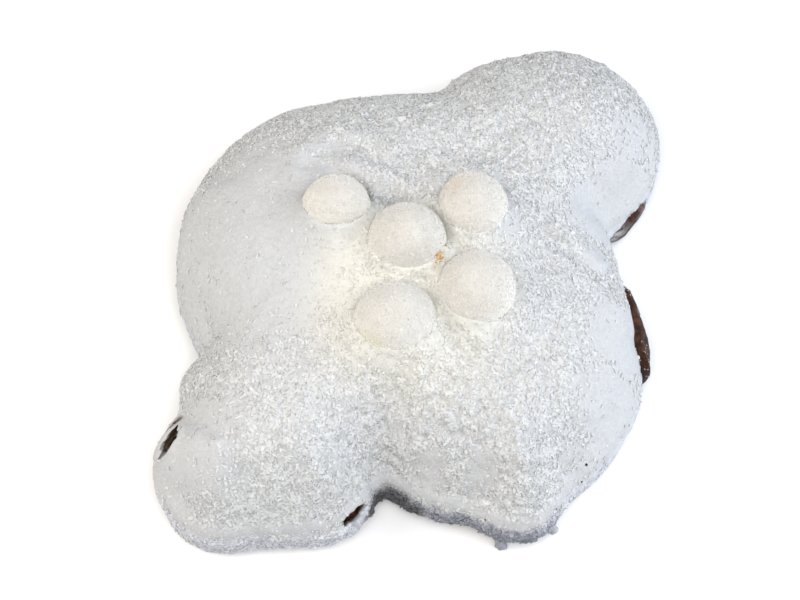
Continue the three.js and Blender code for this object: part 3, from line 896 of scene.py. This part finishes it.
def flake_places(surface):
    """Places of the large flakes, spread evenly over the coat on a sunflower spiral."""
    number = np.arange(FLAKE_COUNT)
    angles = number * FLAKE_TURN % (2 * math.pi)
    shares = FLAKE_RIM_SHARE * np.sqrt((number + 0.5) / FLAKE_COUNT)
    points, normals = under(surface, from_middle(angles, shares * outline_radius(angles, 0)))
    clear = on_coat(points, normals) & (smoothness(points) < FLAKE_SMOOTHEST)
    clear &= truffle_clearance(points) > FLAKE_CLEAR
    return points[clear], normals[clear]


def streak_places(surface, rng):
    along = rng.random((CRUMB_STREAK["count"], 1))
    start, end = np.array(CRUMB_STREAK["start"]), np.array(CRUMB_STREAK["end"])
    plan = start + along * (end - start) + rng.normal(0, CRUMB_STREAK["scatter"], (len(along), 2))
    return under(surface, plan)


class Material:
    """Procedural material: a principled shader, and short calls that add nodes in front of it."""

    def __init__(self, name, **values):
        self.material = bpy.data.materials.new(name)
        self.material.use_nodes = True
        self.tree = self.material.node_tree
        self.shader = self.tree.nodes["Principled BSDF"]
        for socket, value in values.items():
            self.feed(self.shader.inputs[socket.replace("_", " ")], value)
        self.place = self.node("TexCoord", {}).outputs["Object"]

    def feed(self, socket, value):
        """Sets a socket to a value, or links it to another node's output."""
        if isinstance(value, bpy.types.NodeSocket):
            self.tree.links.new(value, socket)
        else:
            socket.default_value = value

    def node(self, kind, inputs, **settings):
        """New node with settings and fed inputs."""
        node = self.tree.nodes.new("ShaderNode" + kind)
        for name, value in settings.items():
            setattr(node, name, value)
        for socket, value in inputs.items():
            self.feed(node.inputs[socket], value)
        return node

    def noise(self, scale, detail=3, roughness=0.55, upright=1):
        """Noise whose lumps are longer upright by a factor."""
        squeezed = self.node("VectorMath", {0: self.place, 1: (1, 1, 1 / upright)}, operation="MULTIPLY")
        look = {"Scale": scale, "Detail": detail, "Roughness": roughness}
        return self.node("TexNoise", {"Vector": squeezed.outputs["Vector"], **look}).outputs["Fac"]

    def mottle(self, stops, **noise):
        """Colour that a noise picks from stops, each a place from 0 to 1 and a colour."""
        node = self.node("ValToRGB", {"Fac": self.noise(**noise)})
        elements = node.color_ramp.elements
        while len(elements) < len(stops):
            elements.new(0.5)
        for element, (position, colour) in zip(elements, stops):
            element.position = position
            element.color = (*colour, 1)
        return node.outputs["Color"]

    def spot(self, colour, other, point, near, far):
        """A colour that gives way to another near a point."""
        distance = self.node("VectorMath", {0: self.place, 1: point}, operation="DISTANCE")
        return self.mix(colour, other, distance.outputs["Value"], near, far)

    def layers(self, upper, lower, low, high):
        """A lower colour up to a height, and an upper one from a larger height."""
        height = self.node("SeparateXYZ", {"Vector": self.place}).outputs["Z"]
        return self.mix(upper, lower, height, low, high)

    def mix(self, colour, other, value, near, far):
        """A colour that gives way to another as a value falls from the far limit to the near one."""
        inputs = {"Value": value, "From Min": far, "From Max": near}
        share = self.node("MapRange", inputs, interpolation_type="SMOOTHSTEP").outputs["Result"]
        node = self.node("Mix", {"Factor": share}, data_type="RGBA")
        colours = [socket for socket in node.inputs if socket.type == "RGBA"]
        for socket, source in zip(colours, (colour, other)):
            self.feed(socket, source)
        return next(socket for socket in node.outputs if socket.type == "RGBA")

    def colour(self, value):
        self.feed(self.shader.inputs["Base Color"], value)

    def bump(self, strength, distance, **noise):
        """Bumps of a noise, as high as a distance."""
        inputs = {"Strength": strength, "Distance": distance, "Height": self.noise(**noise)}
        self.feed(self.shader.inputs["Normal"], self.node("Bump", inputs).outputs["Normal"])


def in_frame(place):
    """A place of the lobes' plan in metres in the part's frame."""
    return tuple((np.array(place) + PLAN_SHIFT) * MM)


# Mottled colours: stops (place from 0 to 1, colour) that a noise runs through.
ICING_COOL = (0.3, (0.43, 0.435, 0.44)), (0.7, (0.49, 0.495, 0.50))
ICING_IVORY = (0.3, (0.57, 0.56, 0.51)), (0.7, (0.63, 0.62, 0.57))
# Bluish grey for the icing on the walls below the lip: painted shade.
ICING_WALL_SHADE = (0.3, (0.42, 0.43, 0.46)), (0.7, (0.58, 0.59, 0.62))
COCONUT_COOL = (0.25, (0.47, 0.475, 0.475)), (0.75, (0.58, 0.585, 0.58))
COCONUT_IVORY = (0.25, (0.55, 0.54, 0.50)), (0.75, (0.63, 0.62, 0.58))
# Bluish grey for the coconut on the walls below the lip: painted shade.
COCONUT_WALL_SHADE = (0.25, (0.46, 0.47, 0.50)), (0.75, (0.61, 0.62, 0.65))
# Painted shade on the wall below the right wing, and deeper painted shade in the notch beside it.
WALL_SHADE_DARK = (0.3, (0.18, 0.19, 0.22)), (0.7, (0.32, 0.33, 0.37))
NOTCH_SHADE_DARK = (0.3, (0.07, 0.07, 0.075)), (0.7, (0.13, 0.13, 0.14))
# Brown-black painted shade deep inside the cracks.
CRACK_SHADE_DARK = (0.3, (0.03, 0.018, 0.01)), (0.7, (0.16, 0.10, 0.06))
TRUFFLE_BUFF = (0.3, (0.49, 0.46, 0.41)), (0.6, (0.52, 0.50, 0.46)), (0.8, (0.55, 0.54, 0.51))
# Paler cream for the truffles' lower sides: painted light.
TRUFFLE_LIT_FOOT = (0.3, (0.62, 0.595, 0.535)), (0.7, (0.67, 0.65, 0.59))
DUST_BUFF = (0.25, (0.50, 0.48, 0.44)), (0.75, (0.58, 0.565, 0.535))
# Paler cream for the dust on the truffles' lower sides: painted light.
DUST_LIT_FOOT = (0.25, (0.62, 0.60, 0.54)), (0.75, (0.70, 0.68, 0.63))
CRUST_BROWN = (
    (0.36, (0.009, 0.003, 0.0015)), (0.52, (0.034, 0.011, 0.005)),
    (0.66, (0.085, 0.032, 0.015)), (0.82, (0.15, 0.08, 0.05)))
CRUST_POWDER = (0.36, (0.06, 0.035, 0.025)), (0.46, (0.22, 0.20, 0.20)), (0.56, (0.42, 0.42, 0.43))
TOASTED = (0.3, (0.36, 0.20, 0.07)), (0.7, (0.62, 0.45, 0.22))
FLOOR_WHITE = (0.3, (0.83, 0.83, 0.83)), (0.7, (0.85, 0.85, 0.85))
BIT_BUMP = {"strength": 0.3, "distance": 0.0002, "scale": 3000, "detail": 2}
POWDER_SHEEN = {"Sheen_Weight": 0.6, "Sheen_Roughness": 0.6}  # powder brightens the truffles' edges

# Spots with a colour of their own, or of painted shade: a middle, and the distances from it where it starts
# to fade and ends.
CREAM_SPOT = in_frame((-12, -12, 72)), 0.022, 0.05  # ivory icing round the truffles
WALL_SHADE_SPOT = in_frame((-40, -82, 12)), 0.018, 0.036  # painted shade on the wall below the right wing
NOTCH_SHADE_SPOT = in_frame((-61, -54, 13)), 0.009, 0.014  # deeper painted shade on the wall in the notch beside it
# the painted shade in the cracks fades out over these distances
CRACK_SHADE_FADE = (0.0035, 0.0055)
POWDERED = [in_frame(place) for place in ((77, -37, 12), (104, -36, 14), (64, -58, 24))]  # on the bare crust
POWDER_FADE = (0.004, 0.014)
STAINS = [((29.8, 4.5, 80), (0.58, 0.50, 0.42)), ((-34, -17, 74), (0.60, 0.58, 0.40))]  # on the truffles
STAIN_FADE = (0.002, 0.008)
STAIN_SHADE = 0.9  # brightness of a stain's darker parts

# Heights between which a lower colour gives way to an upper one.
WALL_SHADE_FADE = (0.0205, 0.0235)  # below these heights the coat takes its bluish grey wall colours, painted shade under the lip
FOOT_LIGHT_FADE = (0.068, 0.084)  # painted light: towards the bottom the truffles turn a paler cream, which lifts the shade on their lower sides


# Places deep in the cracks, round which the coat is painted with brown-black shade.
def crack_shade_places():
    for crack in CRACKS:
        for along in CRACK_SHADE_STEPS:
            yield in_frame(crack["place"] + crack_turn(crack) @ (along, -CRACK_SHADE_DEPTH, 0))


def coat_colour(material, cool, ivory, grey):
    """Cool white and ivory round the truffles, with painted shade: bluish grey on the walls, darker below
    the right wing, darkest in the cracks and the notch.
    """
    dark, darkest, crack_shade = (
        material.mottle(stops, scale=420) for stops in (WALL_SHADE_DARK, NOTCH_SHADE_DARK, CRACK_SHADE_DARK))
    top = material.spot(cool, ivory, *CREAM_SPOT)
    wall = material.spot(grey, dark, *WALL_SHADE_SPOT)
    colour = material.spot(material.layers(top, wall, *WALL_SHADE_FADE), darkest, *NOTCH_SHADE_SPOT)
    for place in crack_shade_places():
        colour = material.spot(colour, crack_shade, place, *CRACK_SHADE_FADE)
    material.colour(colour)


def icing_material():
    material = Material("icing", Roughness=0.75, IOR=1.4)
    coat_colour(
        material,
        material.mottle(ICING_COOL, scale=700),
        material.mottle(ICING_IVORY, scale=500),
        material.mottle(ICING_WALL_SHADE, scale=300, detail=4))
    material.bump(strength=0.6, distance=0.0007, scale=900, detail=4, roughness=0.6)
    return material.material


def coconut_material():
    material = Material("coconut", Roughness=0.6, IOR=1.45)
    shades = (COCONUT_COOL, COCONUT_IVORY, COCONUT_WALL_SHADE)
    coat_colour(material, *(material.mottle(stops, scale=420, detail=1) for stops in shades))
    material.bump(**BIT_BUMP)
    return material.material


def truffle_material():
    material = Material("truffle", Roughness=0.7, IOR=1.4, **POWDER_SHEEN)
    top = material.mottle(TRUFFLE_BUFF, scale=160, detail=5, roughness=0.6)
    foot = material.mottle(TRUFFLE_LIT_FOOT, scale=300)
    # Paler towards the bottom: painted light over the shade of the lower sides.
    colour = material.layers(top, foot, *FOOT_LIGHT_FADE)
    for place, stain in STAINS:
        darker = tuple(STAIN_SHADE * value for value in stain)
        tint = material.mottle(((0.3, darker), (0.7, stain)), scale=400, detail=4)
        colour = material.spot(colour, tint, in_frame(place), *STAIN_FADE)
    material.colour(colour)
    material.bump(strength=0.5, distance=0.0004, scale=1500, detail=4, roughness=0.65)
    return material.material


def dust_material():
    material = Material("coconut_dust", Roughness=0.6, IOR=1.45, **POWDER_SHEEN)
    top, foot = (material.mottle(stops, scale=500, detail=1) for stops in (DUST_BUFF, DUST_LIT_FOOT))
    # Paler towards the bottom: painted light over the shade of the lower sides.
    material.colour(material.layers(top, foot, *FOOT_LIGHT_FADE))
    material.bump(**BIT_BUMP)
    return material.material


def crust_material():
    material = Material("crust", Roughness=0.65, IOR=1.4, Specular_IOR_Level=0.2)
    colour = material.mottle(CRUST_BROWN, scale=330, detail=6, roughness=0.7, upright=4)
    powder = material.mottle(CRUST_POWDER, scale=420, detail=5, roughness=0.7)
    for place in POWDERED:
        colour = material.spot(colour, powder, place, *POWDER_FADE)
    material.colour(colour)
    material.bump(strength=0.8, distance=0.001, scale=700, detail=5, roughness=0.65, upright=3)
    return material.material


def toasted_material():
    material = Material("toasted", Roughness=0.6, IOR=1.4)
    material.colour(material.mottle(TOASTED, scale=600, detail=2))
    material.bump(**BIT_BUMP)
    return material.material


def floor_material():
    material = Material("floor", Roughness=0.9)
    material.colour(material.mottle(FLOOR_WHITE, scale=3))
    return material.material


def make_loaf(crust):
    surface = crust_surface()
    piece = make_object("crust_loaf", *surface)
    finish_piece(piece, crust, True)
    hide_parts("cake")
    return surface


def make_coat(icing):
    """The coat of icing, with drips, less the loaf, the bare sides, the cracks and the truffles."""
    surface = coat_surface()
    piece = make_object("icing_coat", *surface)
    for drip in DRIPS:
        combine(piece, "UNION", drip_surface(drip))
    combine(piece, "DIFFERENCE", space_surface())
    for side in BARE_SIDES:
        combine(piece, "DIFFERENCE", bite_surface(side))
    for crack in CRACKS:
        combine(piece, "DIFFERENCE", crack_surface(crack))
    for index in range(len(TRUFFLES)):
        combine(piece, "DIFFERENCE", truffle_surface(index, TOOL_DETAIL, []))
    finish_piece(piece, icing, True)
    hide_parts("icing")
    return surface


def make_truffles(cream, dust, rng):
    """The truffles, each dusted with fine coconut."""
    vertices = []
    triangles = []
    for index in range(len(TRUFFLES)):
        surface = truffle_surface(index, TRUFFLE_DETAIL, TRUFFLE_GRAIN)
        piece = make_object(f"truffle_ball_{index + 1}", *surface)
        finish_piece(piece, cream, True)
        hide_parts(f"truffle_{index + 1}")
        triangles.append(surface[1] + sum(len(v) for v in vertices))
        vertices.append(surface[0])
    surfaces = np.concatenate(vertices), np.concatenate(triangles)
    places = scatter(surfaces, upper_weight, TRUFFLE_DUST["count"], rng)
    add_bits("truffle_dust", places, TRUFFLE_DUST, dust, rng)


def add_bits(name, places, kind, material, rng):
    piece = make_object(name, *bits_surface(places, kind, rng))
    finish_piece(piece, material, False)


def make_cake_pieces():
    rng = np.random.default_rng(SEED)
    crust = crust_material()
    coconut = coconut_material()
    loaf = make_loaf(crust)
    coat = make_coat(icing_material())
    make_truffles(truffle_material(), dust_material(), rng)
    for name, kind, weight in (
            ("coconut_shreds", SHREDS, coconut_weight),
            ("coconut_chips", CHIPS, coconut_weight),
            ("coconut_grains", GRAINS, fine_weight)):
        add_bits(name, scatter(coat, weight, kind["count"], rng), kind, coconut, rng)
    add_bits("coconut_flakes", flake_places(coat), FLAKES, coconut, rng)
    dusting = scatter(loaf, bare_edge_weight, CRUST_DUST["count"], rng)
    add_bits("crust_dust", dusting, CRUST_DUST, coconut, rng)
    add_bits("toasted_crumbs", streak_places(coat, rng), CRUMBS, toasted_material(), rng)
    add_bits("dark_crumbs", under(coat, DARK_CRUMBS), CRUMBS, crust, rng)


def make_floor():
    bpy.ops.mesh.primitive_plane_add(size=FLOOR_SIZE)
    floor = bpy.context.object
    floor.name = "floor"
    floor.data.materials.append(floor_material())


# Lights: bearing in plan, elevation and distance from the cake, size, power and colour.
LIGHTS = {
    "left": (135, 38, 1.0, 0.6, 6.4, (1.0, 0.94, 0.87)),
    "right": (-45, 26, 1.0, 1.3, 16.2, (0.82, 0.89, 1.0)),
    "overhead": (-135, 71, 1.0, 0.6, 9.9, (1.0, 0.98, 0.96)),
}
SKY_STRENGTH = 0.03
SKY_COLOUR = (0.6, 0.75, 1.0)


def add_item(name, data, middle, bearing, elevation, distance):
    """Adds a light or a camera that looks at a middle from a distance."""
    flat = heading(math.radians(bearing)) * math.cos(math.radians(elevation))
    direction = Vector((*flat, math.sin(math.radians(elevation))))
    item = bpy.data.objects.new(name, data)
    item.location = Vector(middle) + direction * distance
    item.rotation_euler = (-direction).to_track_quat("-Z", "Y").to_euler()
    bpy.context.scene.collection.objects.link(item)
    return item


def make_lights():
    world = bpy.data.worlds.new("studio")
    world.use_nodes = True
    background = world.node_tree.nodes["Background"]
    background.inputs["Color"].default_value = (*SKY_COLOUR, 1)
    background.inputs["Strength"].default_value = SKY_STRENGTH
    bpy.context.scene.world = world
    for name, (bearing, elevation, distance, size, power, colour) in LIGHTS.items():
        light = bpy.data.lights.new(name, "AREA")
        light.size = size
        light.energy = power
        light.color = colour
        add_item(name, light, (0, 0, 0), bearing, elevation, distance)


def make_camera():
    camera = bpy.data.cameras.new("camera")
    camera.sensor_width = VIEW_SENSOR
    camera.lens = VIEW_LENS
    bpy.context.scene.camera = add_item(
        "camera", camera, in_frame(VIEW_AIM), VIEW_BEARING, VIEW_ELEVATION, VIEW_DISTANCE)


make_cake_pieces()
make_floor()
make_lights()
make_camera()
bpy.context.scene.view_settings.view_transform = "Standard"
